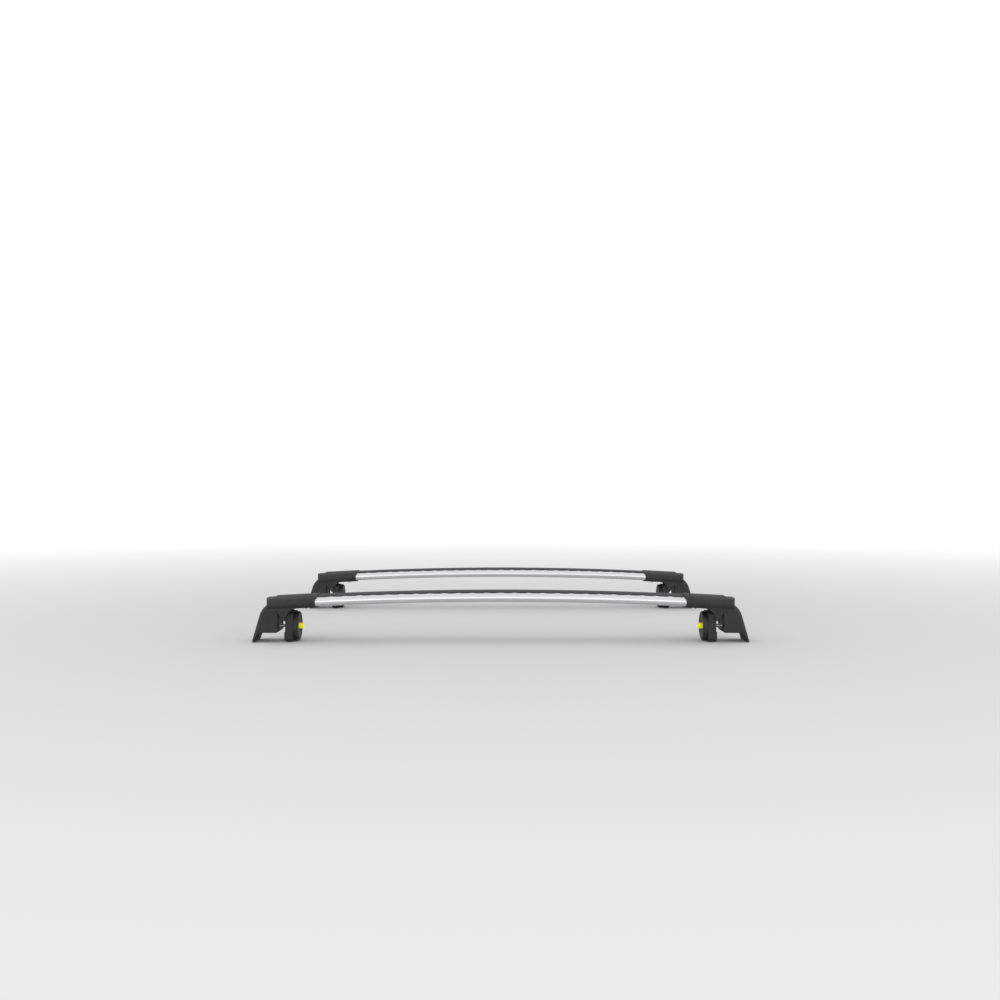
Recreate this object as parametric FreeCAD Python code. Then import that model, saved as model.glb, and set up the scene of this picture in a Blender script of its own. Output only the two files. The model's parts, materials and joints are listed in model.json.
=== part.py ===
# Pair of arched roof crossbars with screw-clamp feet, in millimetres.
# X runs along the bars, -Y is forward, Z is up, and the feet stand on Z = 0.
import FreeCAD, Part
import math
import os

from FreeCAD import Vector

# Overall sizes
OVERALL_LENGTH = 1097.0   # over the bowed ends of one bar's two sleeves
BAR_SPREAD = 750.0        # between the two bars
BAR_TOP_HEIGHT = 119.0    # crown of the bar at mid-length
ARCH_RADIUS = 9250.0      # crown line seen from the front

# Aero section of the bar
BAR_WIDTH = 80.0
NOSE_RADIUS = 9.5
TAIL_RADIUS = 4.5
TOP_RADIUS = 76.0
UNDER_RADIUS = 260.0
BAR_WALL = 2.2
WEB_THICKNESS = 2.0
WEB_SPACING = 34.0

# T-slot and infill strip
SLOT_MOUTH = 11.0
SLOT_WIDTH = 24.0
SLOT_DEPTH = 8.0
SLOT_LIP = 2.6
STRIP_WIDTH = 50.0
STRIP_THICKNESS = 1.2
STRIP_SEAT = 0.1
STRIP_FIT = 0.3
STRIP_BARB = 1.2
SCALLOP_PITCH = 33.0
SCALLOP_DEPTH = 2.4

# End sleeve
SLEEVE_LENGTH = 116.0
SLEEVE_WALL = 2.8
SLEEVE_FIT = 0.15
END_BOW = 6.0             # how far the closed end bulges in plan
END_BOW_RADIUS = 120.0
MOUTH_BOW_RADIUS = 185.0
GROOVE_INSET = 14.0       # ring groove behind the mouth
GROOVE_WIDTH = 1.6
GROOVE_DEPTH = 0.7
STEP_LENGTH = 14.5        # lowered land at the closed end
STEP_DEPTH = 4.5
STEP_RAMP = 4.5

# Foot seen from the front, measured from where the sleeve's end starts to bow
FOOT_REACH = 37.0
FLANK_LEAN = 0.29         # inward run of the outer flank for its height
COVER_INSET = 24.0
LEG_INSET = 22.0
NECK_INSET = 70.5
CHEEK_TIP_INSET = 43.0
CHEEK_TIP_RISE = 14.5     # above the clamp screw
CHEEK_TIP_WIDTH = 3.0
CHEEK_THICKNESS = 4.5
ROOF_DROP = 49.0          # from the bar's crown to the roof over the jaw
SHOULDER_DROP = 15.0      # from the crown line to where the flank meets the sleeve
SHOULDER_RISE = 26.0      # height of the rounded shoulder
SHOULDER_RUN = 3.0        # height of the straight run from the shoulder into the sleeve
NECK_BEND = 0.68          # how far the neck's inner curve hollows towards the cheek's tip
SIDE_ROUND = 10.0

# Clamp
SCREW_DIAMETER = 8.0
SCREW_FIT = 0.1
SCREW_RUN_OUT = 2.0       # thread past the nut at rest
COLLAR_DIAMETER = 18.0
COLLAR_THICKNESS = 3.0
HEX_SIDES = 6             # of the drive stub and of the cap's sockets
STUB_FLATS = 8.0
STUB_LENGTH = 8.0
WASHER_DIAMETER = 22.0
WASHER_THICKNESS = 1.6
NUT_DIAMETER = 12.0
NUT_LENGTH = 26.0
NUT_INSET = 3.5
NUT_FIT = 0.1
CAP_DIAMETER = 14.0
CAP_PROUD = 8.3           # past the disc's rim
CAP_CHAMFER = 1.2
CAP_SOCKET_FLATS = 6.0
CAP_SOCKET_DEPTH = 3.5
CAP_FIT = 0.1
DISC_DEPTH = 12.0
DISC_DISH = 3.0           # hollow of the disc's face towards its middle
DISC_CORNER = 4.0
DISC_WALL = 2.4
DISC_FIT = 0.4
JAW_THICKNESS = 18.0
JAW_GAP = 19.5            # outer leg to jaw at rest
JAW_GROUND = 1.5          # jaw's lower edge above the ground
JAW_FIT = 0.5
JAW_ROUND = 9.0
JAW_RIB = 4.0
JAW_POCKET_DEPTH = 9.0
CLAMP_CLOSING = 12.5      # travel of the jaw towards the outer leg

# Rail seat
SEAT_DROP = 13.0          # from the clamp screw's axis to the rail's top
PAD_THICKNESS = 3.0
TIP_WIDTH = 8.0           # pad, leg and cover together at the hook's lower edge
JAW_PAD_HEIGHT = 22.0
JAW_PAD_RIBS = 4
RIB_DEPTH = 1.0

# Outer cover
COVER_WALL = 2.6
COVER_FIT = 0.3
COVER_SKIRT = 2.0         # height of the cover's outer edge above the ground
COVER_LIFT = 1.5          # cover's lower edge above the rail's top

# Screws between sleeve and bar
BAR_SCREW_DIAMETER = 5.0
BAR_SCREW_HEAD = 9.5
BAR_SCREW_HEAD_HEIGHT = 3.0
BAR_SCREW_LENGTH = 9.0
BAR_SCREW_INSET = 25.0    # from the sleeve's mouth
BAR_SCREW_SPACING = 26.0
BAR_SCREW_FIT = 0.1

# Reach of cutting tools past the faces that they leave
OVERCUT = 1.0

# Derived places
HALF_LENGTH = OVERALL_LENGTH / 2 - END_BOW
NOSE_CENTRE = Vector(0, NOSE_RADIUS - BAR_WIDTH / 2, 0)
TAIL_CENTRE = Vector(0, BAR_WIDTH / 2 - TAIL_RADIUS, 0)
LEG_INNER = HALF_LENGTH - LEG_INSET
JAW_OUTER = LEG_INNER - JAW_GAP
JAW_INNER = JAW_OUTER - JAW_THICKNESS
NECK_ROOF = BAR_TOP_HEIGHT - ROOF_DROP
JAW_TOP = NECK_ROOF - JAW_FIT
JAW_RADIUS = (JAW_TOP - JAW_GROUND) / 2
SCREW_HEIGHT = JAW_GROUND + JAW_RADIUS
SEAT_HEIGHT = SCREW_HEIGHT - SEAT_DROP
SEAT_RADIUS = SEAT_HEIGHT - COVER_SKIRT
CHANNEL_HALF = JAW_RADIUS + JAW_FIT
FOOT_HALF = CHANNEL_HALF + CHEEK_THICKNESS
LEG_HALF = FOOT_HALF - COVER_WALL - COVER_FIT
HOOK_INNER = HALF_LENGTH + FOOT_REACH - FLANK_LEAN * COVER_SKIRT - TIP_WIDTH
SEAT_END = HOOK_INNER - SEAT_RADIUS   # where the rail's top turns down into the hook
NUT_CENTRE = LEG_INNER + NUT_INSET + NUT_DIAMETER / 2
SCREW_TIP = NUT_CENTRE + NUT_DIAMETER / 2 + SCREW_RUN_OUT
COLLAR_OUTER = JAW_INNER - WASHER_THICKNESS
STUB_OUTER = COLLAR_OUTER - COLLAR_THICKNESS
DISC_FACE = JAW_INNER - DISC_DEPTH
SLEEVE_MOUTH = HALF_LENGTH - SLEEVE_LENGTH
SLEEVE_MIDDLE = HALF_LENGTH - SLEEVE_LENGTH / 2
SLEEVE_END = HALF_LENGTH - STEP_LENGTH - STEP_RAMP - SLEEVE_WALL   # blind end of the bore
SLEEVE_SAG = (SLEEVE_LENGTH / 2) ** 2 / (2 * ARCH_RADIUS)
BORE_OFFSET = SLEEVE_FIT + SLEEVE_SAG
SLEEVE_OFFSET = BORE_OFFSET + SLEEVE_WALL


def enclosing_centre(radius, side):
    """Centre of the large arc that touches both the nose and the tail circle."""
    reach_nose = radius - NOSE_RADIUS
    reach_tail = radius - TAIL_RADIUS
    span = TAIL_CENTRE.y - NOSE_CENTRE.y
    along = (span ** 2 + reach_nose ** 2 - reach_tail ** 2) / (2 * span)
    return Vector(0, NOSE_CENTRE.y + along, -side * math.sqrt(reach_nose ** 2 - along ** 2))


TOP_CENTRE = enclosing_centre(TOP_RADIUS, 1)
UNDER_CENTRE = enclosing_centre(UNDER_RADIUS, -1)
CROWN = TOP_CENTRE.z + TOP_RADIUS
KEEL = UNDER_CENTRE.z - UNDER_RADIUS
SECTION_HEIGHT = BAR_TOP_HEIGHT - CROWN
SLOT_Y = TOP_CENTRE.y
ARCH_CENTRE = Vector(0, 0, BAR_TOP_HEIGHT - ARCH_RADIUS)


def aero_face(offset):
    """Bar section in the YZ plane, grown outwards by offset."""
    nose = NOSE_RADIUS + offset
    tail = TAIL_RADIUS + offset
    touches = []
    for centre in (TOP_CENTRE, UNDER_CENTRE):
        for end, radius in ((NOSE_CENTRE, nose), (TAIL_CENTRE, tail)):
            touches.append(end + (end - centre).normalize() * radius)
    top_nose, top_tail, under_nose, under_tail = touches
    crown = TOP_CENTRE + Vector(0, 0, TOP_RADIUS + offset)
    keel = UNDER_CENTRE - Vector(0, 0, UNDER_RADIUS + offset)
    nose_tip = NOSE_CENTRE - Vector(0, nose, 0)
    tail_tip = TAIL_CENTRE + Vector(0, tail, 0)
    edges = [
        Part.Arc(under_nose, nose_tip, top_nose).toShape(),
        Part.Arc(top_nose, crown, top_tail).toShape(),
        Part.Arc(top_tail, tail_tip, under_tail).toShape(),
        Part.Arc(under_tail, keel, under_nose).toShape(),
    ]
    return Part.Face(Part.Wire(edges))


def section_box(y_min, y_max, z_min, z_max):
    """Rectangle in the YZ plane of the bar section."""
    corners = [(y_min, z_min), (y_max, z_min), (y_max, z_max), (y_min, z_max), (y_min, z_min)]
    return Part.Face(Part.makePolygon([Vector(0, y, z) for y, z in corners]))


def along_arch(face, start, end):
    """Sweep a section along the arch between two distances from mid-length."""
    first = math.degrees(math.asin(start / ARCH_RADIUS))
    last = math.degrees(math.asin(end / ARCH_RADIUS))
    placed = face.translated(Vector(0, 0, SECTION_HEIGHT))
    placed.rotate(ARCH_CENTRE, Vector(0, 1, 0), first)
    return placed.revolve(ARCH_CENTRE, Vector(0, 1, 0), last - first)


def along_sleeve(face, start, end):
    """Straight run of a section on the arch's tangent at the sleeve's middle."""
    turn = math.asin(SLEEVE_MIDDLE / ARCH_RADIUS)
    tangent = Vector(math.cos(turn), 0, -math.sin(turn))
    placed = face.translated(Vector(0, 0, SECTION_HEIGHT))
    placed.rotate(ARCH_CENTRE, Vector(0, 1, 0), math.degrees(turn))
    placed.translate(tangent * ((start - SLEEVE_MIDDLE) / tangent.x))
    return placed.extrude(tangent * ((end - start) / tangent.x))


def arch_drop(distance):
    return ARCH_RADIUS - math.sqrt(ARCH_RADIUS ** 2 - distance ** 2)


def front_outline(start, *steps):
    """Closed face in the XZ plane: a step is a line's end, or an arc's middle and end."""
    edges = []
    here = Vector(start[0], 0, start[1])
    for step in steps:
        points = [Vector(x, 0, z) for x, z in step]
        if len(points) == 1:
            edges.append(Part.LineSegment(here, points[0]).toShape())
        else:
            edges.append(Part.Arc(here, points[0], points[1]).toShape())
        here = points[-1]
    return Part.Face(Part.Wire(edges))


def prism(face, half):
    """Solid of a front outline, as deep as half to each side of Y = 0."""
    return face.translated(Vector(0, -half, 0)).extrude(Vector(0, 2 * half, 0))


def block(x_min, x_max, half, z_min, z_max):
    return Part.makeBox(x_max - x_min, 2 * half, z_max - z_min, Vector(x_min, -half, z_min))


def rod(x_min, x_max, diameter):
    """Cylinder on the clamp screw's axis."""
    return Part.makeCylinder(diameter / 2, x_max - x_min, Vector(x_min, 0, SCREW_HEIGHT), Vector(1, 0, 0))


def hexagon(x_min, x_max, flats):
    """Hexagonal bar on the clamp screw's axis."""
    corner = flats / (2 * math.cos(math.pi / HEX_SIDES))
    points = []
    for side in range(HEX_SIDES + 1):
        turn = 2 * math.pi * side / HEX_SIDES
        points.append(Vector(x_min, corner * math.cos(turn), SCREW_HEIGHT + corner * math.sin(turn)))
    return Part.Face(Part.makePolygon(points)).extrude(Vector(x_max - x_min, 0, 0))


def flank_point(height, inset):
    """Point on the foot's straight outer flank, moved inwards by inset."""
    return Vector(HALF_LENGTH + FOOT_REACH - FLANK_LEAN * height - inset, 0, height)


def shoulder_points(inset):
    """Start, middle and end of the shoulder's arc off the flank, and the end of its straight run."""
    end_z = BAR_TOP_HEIGHT - arch_drop(HALF_LENGTH) - SHOULDER_DROP
    start = flank_point(end_z - SHOULDER_RISE, inset)
    end = Vector(HALF_LENGTH - inset, 0, end_z)
    inwards = Vector(-1, 0, -FLANK_LEAN).normalize()
    flank = Vector(-FLANK_LEAN, 0, 1).normalize()
    chord = end - start
    radius = chord.dot(chord) / (2 * chord.dot(inwards))
    centre = start + inwards * radius
    middle = centre + (start + end - centre * 2).normalize() * radius
    heading = chord * (2 * chord.dot(flank) / chord.dot(chord)) - flank
    return start, middle, end, end + heading * (SHOULDER_RUN / heading.z)


def make_bar():
    """Hollow extrusion with two webs and a T-slot."""
    end = SLEEVE_END - SLEEVE_FIT
    roof = CROWN - SLOT_LIP
    floor = roof - SLOT_DEPTH
    half_slot = SLOT_WIDTH / 2
    hollow = aero_face(-BAR_WALL)
    trough = section_box(
        SLOT_Y - half_slot - BAR_WALL, SLOT_Y + half_slot + BAR_WALL, floor - BAR_WALL, CROWN)
    hollow = hollow.cut(trough)
    for side in (-1, 1):
        web_y = SLOT_Y + side * WEB_SPACING / 2
        hollow = hollow.cut(section_box(
            web_y - WEB_THICKNESS / 2, web_y + WEB_THICKNESS / 2, KEEL, CROWN))
    mouth = section_box(SLOT_Y - SLOT_MOUTH / 2, SLOT_Y + SLOT_MOUTH / 2, roof, CROWN + OVERCUT)
    chamber = section_box(SLOT_Y - half_slot, SLOT_Y + half_slot, floor, roof)
    section = aero_face(0).cut(hollow).cut(mouth.fuse(chamber).removeSplitter())
    bar = along_arch(section.Faces[0], -end, end)
    for side in (-1, 1):
        for screw in bar_screw_shapes(BAR_SCREW_FIT):
            bar = bar.cut(screw if side > 0 else mirrored(screw))
    return bar


def make_strip():
    """Infill strip with a barbed stem and a scalloped front edge."""
    end = SLEEVE_MOUTH - STRIP_FIT
    under = TOP_RADIUS + STRIP_SEAT
    over = TOP_RADIUS + STRIP_THICKNESS
    half = STRIP_WIDTH / 2
    foot = CROWN - SLOT_LIP - STRIP_FIT
    ring = Part.Face(Part.Wire(Part.makeCircle(over, TOP_CENTRE, Vector(1, 0, 0))))
    ring = ring.cut(Part.Face(Part.Wire(Part.makeCircle(under, TOP_CENTRE, Vector(1, 0, 0)))))
    flange = ring.common(section_box(SLOT_Y - half, SLOT_Y + half, KEEL, CROWN + STRIP_THICKNESS))
    stem_half = SLOT_MOUTH / 2 - STRIP_FIT
    stem = section_box(SLOT_Y - stem_half, SLOT_Y + stem_half, foot - STRIP_BARB, CROWN + STRIP_SEAT)
    barb_half = SLOT_MOUTH / 2 + STRIP_BARB
    barb = section_box(SLOT_Y - barb_half, SLOT_Y + barb_half, foot - STRIP_BARB, foot)
    section = flange.fuse([stem, barb]).removeSplitter()
    strip = along_arch(section.Faces[0], -end, end)
    count = int(end / SCALLOP_PITCH)
    radius = ((SCALLOP_PITCH / 4) ** 2 + SCALLOP_DEPTH ** 2) / (2 * SCALLOP_DEPTH)
    bites = []
    for step in range(-count, count + 1):
        centre = Vector(step * SCALLOP_PITCH, SLOT_Y - half + SCALLOP_DEPTH - radius, 0)
        bites.append(Part.makeCylinder(radius, BAR_TOP_HEIGHT + STRIP_WIDTH, centre))
    return strip.cut(bites)


def bar_screw_shapes(fit):
    """The two screws under one sleeve, grown by fit."""
    x = SLEEVE_MOUTH + BAR_SCREW_INSET
    seat = BAR_TOP_HEIGHT - arch_drop(x) - CROWN + KEEL - SLEEVE_OFFSET
    screws = []
    for side in (-1, 1):
        y = SLOT_Y + side * BAR_SCREW_SPACING / 2
        under = Vector(x, y, seat - BAR_SCREW_HEAD_HEIGHT)
        head = Part.makeCylinder(BAR_SCREW_HEAD / 2 + fit, BAR_SCREW_HEAD_HEIGHT + fit, under)
        shank = Part.makeCylinder(BAR_SCREW_DIAMETER / 2 + fit, BAR_SCREW_LENGTH, Vector(x, y, seat))
        screws.append(head.fuse(shank).removeSplitter())
    return screws


def mirrored(shape):
    return shape.mirror(Vector(0, 0, 0), Vector(1, 0, 0))


def sleeve_solid():
    """Closed aero sleeve, bowed at both ends, with a lowered land at its outer end."""
    outer_x = HALF_LENGTH + END_BOW
    sleeve = along_sleeve(aero_face(SLEEVE_OFFSET), SLEEVE_MOUTH - OVERCUT, outer_x + OVERCUT)
    top_z = BAR_TOP_HEIGHT + SLEEVE_OFFSET
    end_bow = Part.makeCylinder(END_BOW_RADIUS, top_z, Vector(outer_x - END_BOW_RADIUS, 0, 0))
    mouth_bow = Part.makeCylinder(MOUTH_BOW_RADIUS, top_z, Vector(SLEEVE_MOUTH + MOUTH_BOW_RADIUS, 0, 0))
    sleeve = sleeve.common(end_bow).common(mouth_bow)
    ring = aero_face(SLEEVE_OFFSET + OVERCUT).cut(aero_face(SLEEVE_OFFSET - GROOVE_DEPTH))
    groove_x = SLEEVE_MOUTH + GROOVE_INSET
    sleeve = sleeve.cut(along_sleeve(ring, groove_x, groove_x + GROOVE_WIDTH))
    step_x = HALF_LENGTH - STEP_LENGTH
    ramp_x = step_x - STEP_RAMP
    end_x = HALF_LENGTH + STEP_LENGTH
    land_z = top_z - arch_drop(step_x) - STEP_DEPTH
    end_z = top_z - arch_drop(HALF_LENGTH) - STEP_DEPTH
    ramp_z = top_z - arch_drop(ramp_x)
    cutter = front_outline(
        (ramp_x, ramp_z),
        [(step_x, land_z)],
        [(HALF_LENGTH, end_z)],
        [(end_x, end_z)],
        [(end_x, ramp_z + STEP_DEPTH)],
        [(ramp_x, ramp_z + STEP_DEPTH)],
        [(ramp_x, ramp_z)])
    return sleeve.cut(prism(cutter, BAR_WIDTH))


def foot_body(inset):
    """Foot's outer form from the ground into the sleeve, moved inwards by inset."""
    inner_x = HALF_LENGTH - NECK_INSET
    ground = flank_point(0, inset)
    start, middle, end, top = shoulder_points(inset)
    outline = front_outline(
        (inner_x, 0),
        [(ground.x, 0)],
        [(start.x, start.z)],
        [(middle.x, middle.z), (end.x, end.z)],
        [(top.x, top.z)],
        [(inner_x, top.z)],
        [(inner_x, 0)])
    half = FOOT_HALF - inset
    body = prism(outline, half)
    sides = [edge for edge in body.Edges if abs(edge.CenterOfMass.y) > half / 2]
    outer = [edge for edge in sides if edge.CenterOfMass.x > top.x]
    return body.makeFillet(SIDE_ROUND - inset, outer)


def make_tower():
    """End sleeve, neck, guide cheeks and outer leg, moulded in one."""
    neck_x = HALF_LENGTH - NECK_INSET
    tip_x = HALF_LENGTH - CHEEK_TIP_INSET
    cover_x = HALF_LENGTH - COVER_INSET
    outer_x = HALF_LENGTH + FOOT_REACH
    neck_z = BAR_TOP_HEIGHT - arch_drop(neck_x) - CROWN + KEEL
    bend_x = neck_x + NECK_BEND * (tip_x - neck_x)
    tip_z = SCREW_HEIGHT + CHEEK_TIP_RISE
    bend_z = tip_z + NECK_BEND * (neck_z - tip_z)
    neck = front_outline(
        (neck_x, neck_z),
        [(bend_x, bend_z), (tip_x, tip_z)],
        [(tip_x + CHEEK_TIP_WIDTH, tip_z)],
        [(cover_x, NECK_ROOF)],
        [(outer_x, NECK_ROOF)],
        [(outer_x, BAR_TOP_HEIGHT)],
        [(neck_x, BAR_TOP_HEIGHT)],
        [(neck_x, neck_z)])
    tower = foot_body(0).common(prism(neck, FOOT_HALF))
    tower = tower.cut(block(neck_x - OVERCUT, LEG_INNER, CHANNEL_HALF, 0, NECK_ROOF))
    tower = tower.fuse([sleeve_solid(), leg_solid()])
    bore = along_sleeve(aero_face(BORE_OFFSET), SLEEVE_MOUTH - OVERCUT, SLEEVE_END)
    shaft_end = SCREW_TIP + CLAMP_CLOSING + OVERCUT
    shaft_room = rod(LEG_INNER - OVERCUT, shaft_end, SCREW_DIAMETER + 2 * JAW_FIT)
    tools = [bore, shaft_room, nut_cylinder(NUT_FIT)] + bar_screw_shapes(BAR_SCREW_FIT)
    return tower.cut(tools).removeSplitter()


def rail_room(start_x, floor_z, lift):
    """Room for the rail under the foot and inside its hook, grown by lift towards the foot."""
    radius = SEAT_RADIUS + lift
    seat_z = SEAT_HEIGHT + lift
    centre_z = SEAT_HEIGHT - SEAT_RADIUS
    diagonal = radius * math.sqrt(0.5)
    room = front_outline(
        (start_x, floor_z),
        [(start_x, seat_z)],
        [(SEAT_END, seat_z)],
        [(SEAT_END + diagonal, centre_z + diagonal), (SEAT_END + radius, centre_z)],
        [(SEAT_END + radius, floor_z)],
        [(start_x, floor_z)])
    return prism(room, FOOT_HALF + OVERCUT)


def leg_solid():
    """Outer leg inside its cover, from the neck down to the hook beside the rail."""
    outer_x = HALF_LENGTH + FOOT_REACH
    leg = block(LEG_INNER, outer_x, FOOT_HALF, 0, NECK_ROOF + OVERCUT)
    leg = leg.common(foot_body(COVER_WALL + COVER_FIT))
    return leg.cut(rail_room(LEG_INNER - OVERCUT, -OVERCUT, PAD_THICKNESS))


def nut_cylinder(fit):
    """Cross nut's outline, lying along the rail."""
    half = NUT_LENGTH / 2 + fit
    return Part.makeCylinder(
        NUT_DIAMETER / 2 + fit, 2 * half, Vector(NUT_CENTRE, -half, SCREW_HEIGHT), Vector(0, 1, 0))


def make_cover():
    """Shell round the leg, open towards the rail and below."""
    cover_x = HALF_LENGTH - COVER_INSET
    outer_x = HALF_LENGTH + FOOT_REACH
    top_z = NECK_ROOF - COVER_FIT
    shell = foot_body(0).common(block(cover_x, outer_x, FOOT_HALF, COVER_SKIRT, top_z))
    return shell.cut([foot_body(COVER_WALL), rail_room(cover_x - OVERCUT, 0, COVER_LIFT)])


def make_saddle_pad():
    """Rubber seat under the leg and down the inside of its hook."""
    pad = block(LEG_INNER, HOOK_INNER + PAD_THICKNESS, LEG_HALF, COVER_SKIRT, SEAT_HEIGHT + PAD_THICKNESS)
    pad = pad.common(rail_room(LEG_INNER, 0, PAD_THICKNESS)).common(foot_body(COVER_WALL + COVER_FIT))
    return pad.cut(rail_room(LEG_INNER - OVERCUT, 0, 0))


def make_jaw():
    """Sliding jaw with a rounded head and ribbed pockets on the rail side."""
    jaw = block(JAW_INNER, JAW_OUTER, JAW_RADIUS, JAW_GROUND, JAW_TOP)
    corners = [edge for edge in jaw.Edges if edge.BoundBox.XLength > JAW_THICKNESS / 2]
    jaw = jaw.makeFillet(JAW_ROUND, corners)
    floor_x = JAW_OUTER - JAW_POCKET_DEPTH
    low_z = JAW_GROUND + JAW_PAD_HEIGHT + JAW_RIB
    high_z = JAW_TOP - JAW_ROUND
    width = (JAW_RADIUS - JAW_ROUND) - JAW_RIB - COLLAR_DIAMETER / 2
    tools = [rod(JAW_INNER - OVERCUT, JAW_OUTER + OVERCUT, SCREW_DIAMETER + 2 * JAW_FIT)]
    for side in (-1, 1):
        near = side * (COLLAR_DIAMETER / 2)
        far = side * (COLLAR_DIAMETER / 2 + width)
        corner = Vector(floor_x, min(near, far), low_z)
        tools.append(Part.makeBox(JAW_POCKET_DEPTH + OVERCUT, width, high_z - low_z, corner))
    return jaw.cut(tools)


def make_jaw_pad():
    """Rubber pad with level ribs on the jaw's rail side."""
    half = JAW_RADIUS - JAW_ROUND / 2
    low_z = JAW_GROUND + JAW_ROUND / 2
    high_z = JAW_GROUND + JAW_PAD_HEIGHT
    pad = block(JAW_OUTER, JAW_OUTER + PAD_THICKNESS, half, low_z, high_z)
    pitch = (high_z - low_z) / JAW_PAD_RIBS
    grooves = []
    for step in range(1, JAW_PAD_RIBS):
        centre = low_z + step * pitch
        grooves.append(block(
            JAW_OUTER + PAD_THICKNESS - RIB_DEPTH, JAW_OUTER + PAD_THICKNESS + OVERCUT,
            half + OVERCUT, centre - RIB_DEPTH / 2, centre + RIB_DEPTH / 2))
    return pad.cut(grooves)


def turned(outline):
    """Solid turned about the clamp screw's axis from (x, radius) points and arc middles."""
    face = front_outline(*outline)
    face.translate(Vector(0, 0, SCREW_HEIGHT))
    return face.revolve(Vector(0, 0, SCREW_HEIGHT), Vector(1, 0, 0), 360)


def make_disc():
    """Round cup with a rounded rim and a dished face on the jaw's inner side."""
    hole = CAP_DIAMETER / 2 + DISC_FIT
    corner_x = DISC_FACE + DISC_CORNER
    corner_r = JAW_RADIUS - DISC_CORNER
    diagonal = DISC_CORNER * math.sqrt(0.5)
    dish_x = DISC_FACE + DISC_DISH
    return turned((
        (JAW_INNER, JAW_RADIUS - DISC_WALL),
        [(JAW_INNER, JAW_RADIUS)],
        [(corner_x, JAW_RADIUS)],
        [(corner_x - diagonal, corner_r + diagonal), (DISC_FACE, corner_r)],
        [(dish_x, hole)],
        [(dish_x + DISC_WALL, hole)],
        [(DISC_FACE + DISC_WALL, corner_r)],
        [(corner_x, JAW_RADIUS - DISC_WALL)],
        [(JAW_INNER, JAW_RADIUS - DISC_WALL)]))


def make_screw():
    """Clamp screw with a thrust collar and a hexagonal drive stub."""
    shank = rod(COLLAR_OUTER, SCREW_TIP, SCREW_DIAMETER)
    collar = rod(STUB_OUTER, COLLAR_OUTER, COLLAR_DIAMETER)
    stub = hexagon(STUB_OUTER - STUB_LENGTH, STUB_OUTER, STUB_FLATS)
    return shank.fuse([collar, stub]).removeSplitter()


def make_washer():
    ring = rod(COLLAR_OUTER, JAW_INNER, WASHER_DIAMETER)
    return ring.cut(rod(COLLAR_OUTER, JAW_INNER, SCREW_DIAMETER + 2 * JAW_FIT))


def make_cap():
    """Drive cap pressed over the stub, with a hexagonal socket in its face."""
    face_x = DISC_FACE - CAP_PROUD
    cap = rod(face_x, STUB_OUTER, CAP_DIAMETER)
    rims = [edge for edge in cap.Edges if edge.BoundBox.XMax < face_x + OVERCUT]
    cap = cap.makeChamfer(CAP_CHAMFER, rims)
    seat = hexagon(STUB_OUTER - STUB_LENGTH - CAP_FIT, STUB_OUTER + OVERCUT, STUB_FLATS + 2 * CAP_FIT)
    socket = hexagon(face_x - OVERCUT, face_x + CAP_SOCKET_DEPTH, CAP_SOCKET_FLATS)
    return cap.cut([seat, socket])


def make_nut():
    return nut_cylinder(0).cut(rod(
        NUT_CENTRE - NUT_DIAMETER, NUT_CENTRE + NUT_DIAMETER, SCREW_DIAMETER + 2 * SCREW_FIT))


def foot_pieces():
    return {
        "tower": make_tower(),
        "outer_cover": make_cover(),
        "saddle_pad": make_saddle_pad(),
        "inner_jaw": make_jaw(),
        "jaw_pad": make_jaw_pad(),
        "jaw_disc": make_disc(),
        "clamp_screw": make_screw(),
        "thrust_washer": make_washer(),
        "drive_cap": make_cap(),
        "barrel_nut": make_nut(),
        "bar_screws": Part.Compound(bar_screw_shapes(0)),
    }


def main():
    os.makedirs("parts", exist_ok=True)
    feet = foot_pieces()
    bars = {"bar": make_bar(), "strip": make_strip()}
    for row, y in (("front", -BAR_SPREAD / 2), ("rear", BAR_SPREAD / 2)):
        place = Vector(0, y, 0)
        for name, shape in bars.items():
            shape.translated(place).exportStep(f"parts/{row}_{name}.step")
        for name, shape in feet.items():
            mirror = mirrored(shape)
            shape.translated(place).exportStep(f"parts/{row}_right_{name}.step")
            mirror.translated(place).exportStep(f"parts/{row}_left_{name}.step")


main()
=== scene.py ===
import json
import math

import bmesh
import bpy
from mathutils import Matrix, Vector


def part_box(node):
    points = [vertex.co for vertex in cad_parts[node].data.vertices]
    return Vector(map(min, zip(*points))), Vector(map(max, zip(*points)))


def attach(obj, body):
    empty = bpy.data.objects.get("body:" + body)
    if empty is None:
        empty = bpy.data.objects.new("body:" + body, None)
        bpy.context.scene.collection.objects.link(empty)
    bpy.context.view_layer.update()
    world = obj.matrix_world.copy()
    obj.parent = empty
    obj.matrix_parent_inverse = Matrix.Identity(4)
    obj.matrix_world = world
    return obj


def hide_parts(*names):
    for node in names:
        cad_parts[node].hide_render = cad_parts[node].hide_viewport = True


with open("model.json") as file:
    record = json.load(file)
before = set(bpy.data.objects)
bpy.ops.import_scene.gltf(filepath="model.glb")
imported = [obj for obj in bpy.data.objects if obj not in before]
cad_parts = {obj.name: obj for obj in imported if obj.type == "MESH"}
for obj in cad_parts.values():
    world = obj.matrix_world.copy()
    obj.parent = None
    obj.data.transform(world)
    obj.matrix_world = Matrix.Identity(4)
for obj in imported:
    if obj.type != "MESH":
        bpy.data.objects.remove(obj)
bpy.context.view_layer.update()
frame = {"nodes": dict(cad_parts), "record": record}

ROWS = ("front", "rear")
SIDES = ("left", "right")
FEET = [f"{row}_{side}" for row in ROWS for side in SIDES]

# Camera: level, in front of the pair and a little above it, places in metres
IMAGE_PIXELS = 1000
SENSOR_MM = 36.0
FOCAL_PIXELS = 1145.0
CAMERA_Y = -3.069
CAMERA_Z = 0.359
HORIZON_PIXEL = 488.0
CENTRE_PIXEL = 500.7

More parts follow.
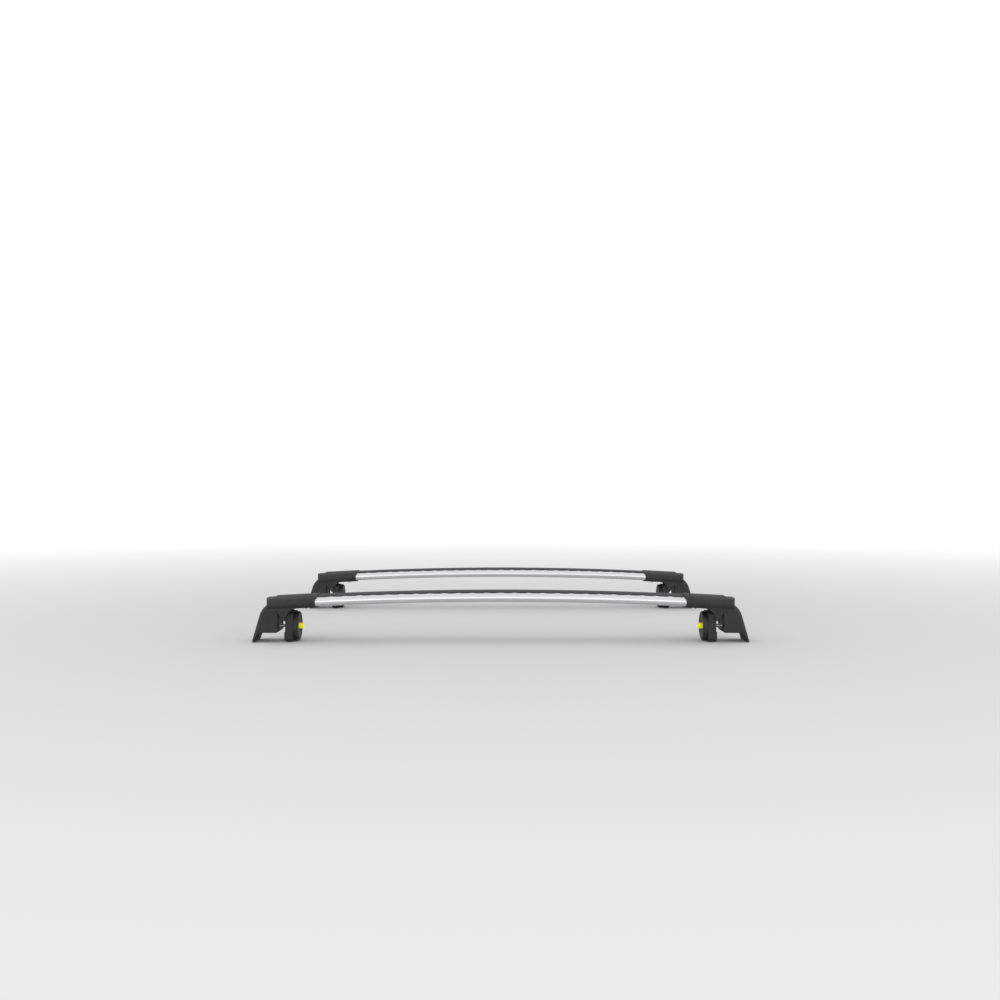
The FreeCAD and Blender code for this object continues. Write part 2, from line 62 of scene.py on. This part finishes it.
# Stage: grey under the pair, fading to white round it, lengths in metres
FLOOR_SIZE = 60.0
FLOOR_GREY = 0.58
FADE_START = 0.6
FADE_END = 4.4
SURROUNDINGS_STRENGTH = 1.05
WHITE = (1.0, 1.0, 1.0, 1.0)

# Lamps: place and size (width, height) in metres, and radiance
LAMP_TARGET = (0.0, 0.0, 0.1)
LAMPS = {
    "front": ((0.0, -4.6, 1.3), (9.0, 2.4), 0.65),
    "left": ((-4.5, -2.0, 1.5), (5.0, 2.8), 0.60),
    "right": ((4.5, -2.0, 1.5), (5.0, 2.8), 0.50),
}

# Edges: lengths in metres, angles in degrees
WELD_DISTANCE = 0.00002
MOULDED_EDGE = 0.0008
FINE_EDGE = 0.0003
FINE_EDGED = ("_bar", "_strip", "_bar_screws", "_thrust_washer", "_drive_cap")
EDGE_SEGMENTS = 2
EDGE_ANGLE = 40
SHARP_ANGLE = 35

# Clamp screw and the screws under the sleeves, lengths in metres
THREAD_PITCH = 0.00125
THREAD_DEPTH = 0.00077
THREAD_STEPS = 6
THREAD_POINTS = 24
SCREW_RADIUS = 0.004
COLLAR_RADIUS = 0.009
COLLAR_LENGTH = 0.003
STUB_FLATS = 0.008
STUB_LENGTH = 0.008
HEAD_HEIGHT = 0.003
HEAD_CHAMFER = 0.0007
HEAD_SOCKET_FLATS = 0.004
HEAD_SOCKET_DEPTH = 0.0018
BAR_SCREW_RADIUS = 0.0025
RING_POINTS = 48

# Noise in the materials, with the values at which the dark colour ends and the light one starts
NOISE_ROUGHNESS = 0.55
DARK_END = 0.3
LIGHT_START = 0.7

# Specular level of mouldings and rubber
DULL_SPECULAR = 0.4


def new_material(name):
    """Material with its node tree and principled shader."""
    material = bpy.data.materials.new(name)
    material.use_nodes = True
    tree = material.node_tree
    return material, tree, tree.nodes["Principled BSDF"]


def add_node(tree, kind, inputs=None, **settings):
    """Node of one kind with its settings and unlinked input values."""
    node = tree.nodes.new(kind)
    for key, value in settings.items():
        setattr(node, key, value)
    for key, value in (inputs or {}).items():
        node.inputs[key].default_value = value
    return node


def object_points(tree, scale):
    """Object coordinates in metres, stretched by scale on each axis."""
    place = add_node(tree, "ShaderNodeTexCoord")
    stretch = add_node(tree, "ShaderNodeMapping", {"Scale": scale})
    tree.links.new(place.outputs["Object"], stretch.inputs["Vector"])
    return stretch.outputs["Vector"]


def noise(tree, scale, detail):
    """Noise value over object coordinates stretched by scale."""
    inputs = {"Scale": 1.0, "Detail": detail, "Roughness": NOISE_ROUGHNESS}
    node = add_node(tree, "ShaderNodeTexNoise", inputs)
    tree.links.new(object_points(tree, scale), node.inputs["Vector"])
    return node.outputs["Fac"]


def spread(tree, value, low, high):
    """Value from 0 to 1 spread between low and high."""
    node = add_node(tree, "ShaderNodeMapRange", {"To Min": low, "To Max": high})
    tree.links.new(value, node.inputs["Value"])
    return node.outputs["Result"]


def set_roughness(tree, shader, value, low, high):
    """Roughness that follows a value between low and high."""
    tree.links.new(spread(tree, value, low, high), shader.inputs["Roughness"])


def set_colour(tree, shader, value, dark, light):
    """Base colour that follows a value between dark and light."""
    node = add_node(tree, "ShaderNodeValToRGB")
    first, last = node.color_ramp.elements
    first.color = (*dark, 1.0)
    first.position = DARK_END
    last.color = (*light, 1.0)
    last.position = LIGHT_START
    tree.links.new(value, node.inputs["Fac"])
    tree.links.new(node.outputs["Color"], shader.inputs["Base Color"])


def set_bump(tree, shader, heights, distance):
    """Chain of bumps of one distance in metres, each with its own strength."""
    before = None
    for height, strength in heights:
        node = add_node(tree, "ShaderNodeBump", {"Strength": strength, "Distance": distance})
        tree.links.new(height, node.inputs["Height"])
        if before:
            tree.links.new(before, node.inputs["Normal"])
        before = node.outputs["Normal"]
    tree.links.new(before, shader.inputs["Normal"])


def aluminium_material():
    """Satin anodised extrusion with fine drawn lines along the bar."""
    material, tree, shader = new_material("bar_aluminium")
    shader.inputs["Metallic"].default_value = 1.0
    drawn = noise(tree, (5.0, 1500.0, 1500.0), detail=4.0)
    streaks = noise(tree, (2.5, 420.0, 420.0), detail=5.0)
    set_colour(tree, shader, streaks, dark=(0.61, 0.62, 0.63), light=(0.70, 0.71, 0.72))
    set_roughness(tree, shader, drawn, low=0.24, high=0.36)
    set_bump(tree, shader, [(streaks, 0.10), (drawn, 0.15)], distance=0.00005)
    return material


def plastic_material():
    """Grained black moulding."""
    material, tree, shader = new_material("foot_plastic")
    grain = noise(tree, (1900.0, 1900.0, 1900.0), detail=2.0)
    cloud = noise(tree, (38.0, 38.0, 38.0), detail=3.0)
    set_colour(tree, shader, cloud, dark=(0.014, 0.014, 0.015), light=(0.023, 0.023, 0.024))
    set_roughness(tree, shader, grain, low=0.55, high=0.72)
    shader.inputs["Specular IOR Level"].default_value = DULL_SPECULAR
    set_bump(tree, shader, [(grain, 0.35)], distance=0.00008)
    return material


def rubber_material(name, dark, light, line_scale):
    """Matt rubber with fine lines or speckle."""
    material, tree, shader = new_material(name)
    lines = noise(tree, line_scale, detail=2.0)
    cloud = noise(tree, (25.0, 60.0, 60.0), detail=3.0)
    set_colour(tree, shader, cloud, dark, light)
    set_roughness(tree, shader, lines, low=0.58, high=0.80)
    shader.inputs["Specular IOR Level"].default_value = DULL_SPECULAR
    set_bump(tree, shader, [(lines, 0.5)], distance=0.00012)
    return material


def strip_material():
    """Dark grey rubber with lines along the strip."""
    dark = (0.022, 0.022, 0.023)
    light = (0.032, 0.032, 0.034)
    return rubber_material("strip_rubber", dark, light, line_scale=(30.0, 1300.0, 1300.0))


def pad_material():
    """Black rubber with an even speckle."""
    dark = (0.016, 0.016, 0.017)
    light = (0.026, 0.026, 0.027)
    return rubber_material("pad_rubber", dark, light, line_scale=(1100.0, 1100.0, 1100.0))


def steel_material():
    """Zinc-plated steel."""
    material, tree, shader = new_material("zinc_steel")
    shader.inputs["Metallic"].default_value = 1.0
    mottle = noise(tree, (260.0, 260.0, 260.0), detail=4.0)
    turned = noise(tree, (2600.0, 90.0, 90.0), detail=2.0)
    set_colour(tree, shader, mottle, dark=(0.70, 0.70, 0.68), light=(0.84, 0.84, 0.82))
    set_roughness(tree, shader, mottle, low=0.25, high=0.42)
    set_bump(tree, shader, [(turned, 0.2)], distance=0.00004)
    return material


def yellow_material():
    """Yellow moulding with a light grain and a painted glow that brightens it where it sits in shade."""
    material, tree, shader = new_material("yellow_plastic")
    grain = noise(tree, (1500.0, 1500.0, 1500.0), detail=2.0)
    cloud = noise(tree, (120.0, 120.0, 120.0), detail=2.0)
    set_colour(tree, shader, cloud, dark=(1.00, 0.84, 0.025), light=(1.00, 0.90, 0.050))
    set_roughness(tree, shader, grain, low=0.30, high=0.42)
    # Painted glow: a small emission that lights the caps in the shade under the bar
    shader.inputs["Emission Color"].default_value = (1.0, 0.87, 0.04, 1.0)
    shader.inputs["Emission Strength"].default_value = 0.20
    set_bump(tree, shader, [(grain, 0.15)], distance=0.00005)
    return material


def dress_nodes():
    """Give every node its material and soft edges."""
    materials = {
        "bar_aluminium": aluminium_material(),
        "strip_rubber": strip_material(),
        "foot_plastic": plastic_material(),
        "pad_rubber": pad_material(),
        "zinc_steel": steel_material(),
        "yellow_plastic": yellow_material(),
    }
    slots = {row["node"]: row["material_slot"] for row in frame["record"]["subparts"]}
    for name, node in frame["nodes"].items():
        node.data.materials.clear()
        node.data.materials.append(materials[slots[name]])
        soften(node, FINE_EDGE if name.endswith(FINE_EDGED) else MOULDED_EDGE)
    return materials


def soften(node, width):
    """Weld the facets, round the edges and smooth the shading."""
    weld = node.modifiers.new("weld", "WELD")
    weld.merge_threshold = WELD_DISTANCE
    bevel = node.modifiers.new("edges", "BEVEL")
    bevel.width = width
    bevel.segments = EDGE_SEGMENTS
    bevel.limit_method = "ANGLE"
    bevel.angle_limit = math.radians(EDGE_ANGLE)
    for face in node.data.polygons:
        face.use_smooth = True
    normals = node.modifiers.new("normals", "WEIGHTED_NORMAL")
    normals.keep_sharp = True


def make_stage():
    """Floor that is grey under the pair and fades to white further out."""
    mesh = bpy.data.meshes.new("floor")
    half = FLOOR_SIZE / 2
    corners = [(-half, -half, 0), (half, -half, 0), (half, half, 0), (-half, half, 0)]
    mesh.from_pydata(corners, [], [(0, 1, 2, 3)])
    floor = bpy.data.objects.new("floor", mesh)
    bpy.context.collection.objects.link(floor)
    mesh.materials.append(floor_material())


def floor_material():
    """Matt grey that gives way to plain white with the distance from the pair."""
    material, tree, shader = new_material("floor")
    shader.inputs["Base Color"].default_value = (FLOOR_GREY, FLOOR_GREY, FLOOR_GREY, 1.0)
    shader.inputs["Roughness"].default_value = 1.0
    shader.inputs["Specular IOR Level"].default_value = 0.0
    place = add_node(tree, "ShaderNodeTexCoord")
    reach = add_node(tree, "ShaderNodeVectorMath", operation="LENGTH")
    tree.links.new(place.outputs["Object"], reach.inputs[0])
    fade = add_node(tree, "ShaderNodeMapRange", {"From Min": FADE_START, "From Max": FADE_END})
    tree.links.new(reach.outputs["Value"], fade.inputs["Value"])
    white = add_node(tree, "ShaderNodeEmission", {"Color": WHITE, "Strength": 1.0})
    blend = add_node(tree, "ShaderNodeMixShader")
    tree.links.new(fade.outputs["Result"], blend.inputs["Fac"])
    tree.links.new(shader.outputs["BSDF"], blend.inputs[1])
    tree.links.new(white.outputs["Emission"], blend.inputs[2])
    tree.links.new(blend.outputs["Shader"], tree.nodes["Material Output"].inputs["Surface"])
    return material


def make_world():
    """Even white surroundings."""
    world = bpy.data.worlds.new("surroundings")
    bpy.context.scene.world = world
    world.use_nodes = True
    shader = world.node_tree.nodes["Background"]
    shader.inputs["Color"].default_value = WHITE
    shader.inputs["Strength"].default_value = SURROUNDINGS_STRENGTH


def make_lamp(name, place, size, radiance):
    """Soft lamp of size (width, height) that faces the pair and shines with one radiance all over."""
    lamp = bpy.data.lights.new(name, "AREA")
    width, height = size
    lamp.shape = "RECTANGLE"
    lamp.size = width
    lamp.size_y = height
    lamp.energy = radiance * math.pi * width * height
    holder = bpy.data.objects.new(name, lamp)
    holder.location = place
    towards = Vector(LAMP_TARGET) - Vector(place)
    holder.rotation_euler = towards.to_track_quat("-Z", "Y").to_euler()
    bpy.context.collection.objects.link(holder)


def make_camera():
    """Level camera that frames the pair as the photograph does."""
    camera = bpy.data.cameras.new("camera")
    camera.sensor_width = SENSOR_MM
    camera.lens = SENSOR_MM * FOCAL_PIXELS / IMAGE_PIXELS
    camera.shift_x = (IMAGE_PIXELS / 2 - CENTRE_PIXEL) / IMAGE_PIXELS
    camera.shift_y = (HORIZON_PIXEL - IMAGE_PIXELS / 2) / IMAGE_PIXELS
    holder = bpy.data.objects.new("camera", camera)
    holder.location = (0.0, CAMERA_Y, CAMERA_Z)
    holder.rotation_euler = (math.radians(90), 0.0, 0.0)
    bpy.context.collection.objects.link(holder)
    bpy.context.scene.camera = holder


def even_turns(count):
    """Angles that share one full turn evenly."""
    return [2 * math.pi * step / count for step in range(count)]


def ring_radii(shape, size):
    """Radii round a ring of that radius, or round a hexagon of that width over flats."""
    if shape == "round":
        return [size] * RING_POINTS
    sixth = math.pi / 3
    return [size / 2 / math.cos((turn + sixth / 2) % sixth - sixth / 2) for turn in even_turns(RING_POINTS)]


def turned_piece(name, rows, origin, axis, across):
    """Closed piece through rows of (distance along axis, radii shared evenly over one turn)."""
    other = axis.cross(across)
    mesh = bmesh.new()
    loops = []
    for distance, radii in rows:
        loop = []
        for turn, radius in zip(even_turns(len(radii)), radii):
            spoke = across * math.cos(turn) + other * math.sin(turn)
            loop.append(mesh.verts.new(origin + axis * distance + spoke * radius))
        loops.append(loop)
    close_loops(mesh, loops)
    return finish_mesh(name, mesh)


def close_loops(mesh, loops):
    """Join neighbouring loops with faces and cap both ends."""
    for low, high in zip(loops, loops[1:]):
        for step in range(len(low)):
            after = (step + 1) % len(low)
            mesh.faces.new((low[step], low[after], high[after], high[step]))
    mesh.faces.new(list(reversed(loops[0])))
    mesh.faces.new(loops[-1])


def finish_mesh(name, mesh):
    """Object of a finished mesh, with outward normals and smooth shading."""
    bmesh.ops.recalc_face_normals(mesh, faces=mesh.faces)
    data = bpy.data.meshes.new(name)
    mesh.to_mesh(data)
    mesh.free()
    piece = bpy.data.objects.new(name, data)
    bpy.context.collection.objects.link(piece)
    data.shade_smooth()
    data.set_sharp_from_angle(angle=math.radians(SHARP_ANGLE))
    return piece


def thread_rows(length):
    """Rows of a right-handed thread of that length, which narrows over its last turn."""
    count = round(length / THREAD_PITCH * THREAD_STEPS)
    rows = []
    for ring in range(count + 1):
        distance = length * ring / count
        lead = 1 - min(1.0, (count - ring) / THREAD_STEPS)
        radii = []
        for turn in even_turns(THREAD_POINTS):
            phase = (distance / THREAD_PITCH - turn / (2 * math.pi)) % 1.0
            dip = THREAD_DEPTH * abs(2 * phase - 1)
            radii.append(SCREW_RADIUS - dip - lead * THREAD_DEPTH / 2)
        rows.append((distance, radii))
    return rows


def make_clamp_screw(foot, material):
    """Threaded clamp screw with its collar and hexagonal stub, in place of the plain one."""
    node = f"{foot}_clamp_screw"
    low, high = (Vector(corner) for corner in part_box(node))
    outwards = 1.0 if foot.endswith("right") else -1.0
    axis = Vector((outwards, 0.0, 0.0))
    across = Vector((0.0, 1.0, 0.0))
    middle = (low + high) / 2
    inner_end = Vector((low.x if outwards > 0 else high.x, middle.y, middle.z))
    collar_end = STUB_LENGTH + COLLAR_LENGTH
    head_rows = [
        (0.0, ring_radii("hexagon", STUB_FLATS)),
        (STUB_LENGTH, ring_radii("hexagon", STUB_FLATS)),
        (STUB_LENGTH, ring_radii("round", COLLAR_RADIUS - HEAD_CHAMFER)),
        (STUB_LENGTH + HEAD_CHAMFER, ring_radii("round", COLLAR_RADIUS)),
        (collar_end, ring_radii("round", COLLAR_RADIUS)),
    ]
    head = turned_piece(f"{foot}_screw_head", head_rows, inner_end, axis, across)
    shank_rows = thread_rows(high.x - low.x - collar_end)
    shank_start = inner_end + axis * collar_end
    shank = turned_piece(f"{foot}_screw_thread", shank_rows, shank_start, axis, across)
    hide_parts(node)
    for piece in (head, shank):
        piece.data.materials.append(material)
        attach(piece, f"{foot}_screw")


def make_bar_screws(foot, material):
    """Socket-head screws under a sleeve, in place of the plain ones."""
    node = f"{foot}_bar_screws"
    low, high = (Vector(corner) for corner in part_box(node))
    axis = Vector((0.0, 0.0, 1.0))
    across = Vector((1.0, 0.0, 0.0))
    head_radius = (high.x - low.x) / 2
    length = high.z - low.z
    rows = [
        (HEAD_SOCKET_DEPTH, ring_radii("hexagon", HEAD_SOCKET_FLATS)),
        (0.0, ring_radii("hexagon", HEAD_SOCKET_FLATS)),
        (0.0, ring_radii("round", head_radius - HEAD_CHAMFER)),
        (HEAD_CHAMFER, ring_radii("round", head_radius)),
        (HEAD_HEIGHT, ring_radii("round", head_radius)),
        (HEAD_HEIGHT, ring_radii("round", BAR_SCREW_RADIUS)),
        (length - HEAD_CHAMFER, ring_radii("round", BAR_SCREW_RADIUS)),
        (length, ring_radii("round", BAR_SCREW_RADIUS - HEAD_CHAMFER)),
    ]
    for number, y in enumerate((low.y + head_radius, high.y - head_radius)):
        origin = Vector(((low.x + high.x) / 2, y, low.z))
        piece = turned_piece(f"{foot}_bar_screw_{number + 1}", rows, origin, axis, across)
        piece.data.materials.append(material)
        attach(piece, "frame")
        if number == 0:
            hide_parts(node)


make_camera()
make_stage()
make_world()
for lamp_name, lamp_values in LAMPS.items():
    make_lamp(lamp_name, *lamp_values)
steel = dress_nodes()["zinc_steel"]
for foot in FEET:
    make_clamp_screw(foot, steel)
    make_bar_screws(foot, steel)
bpy.context.scene.view_settings.view_transform = "Standard"
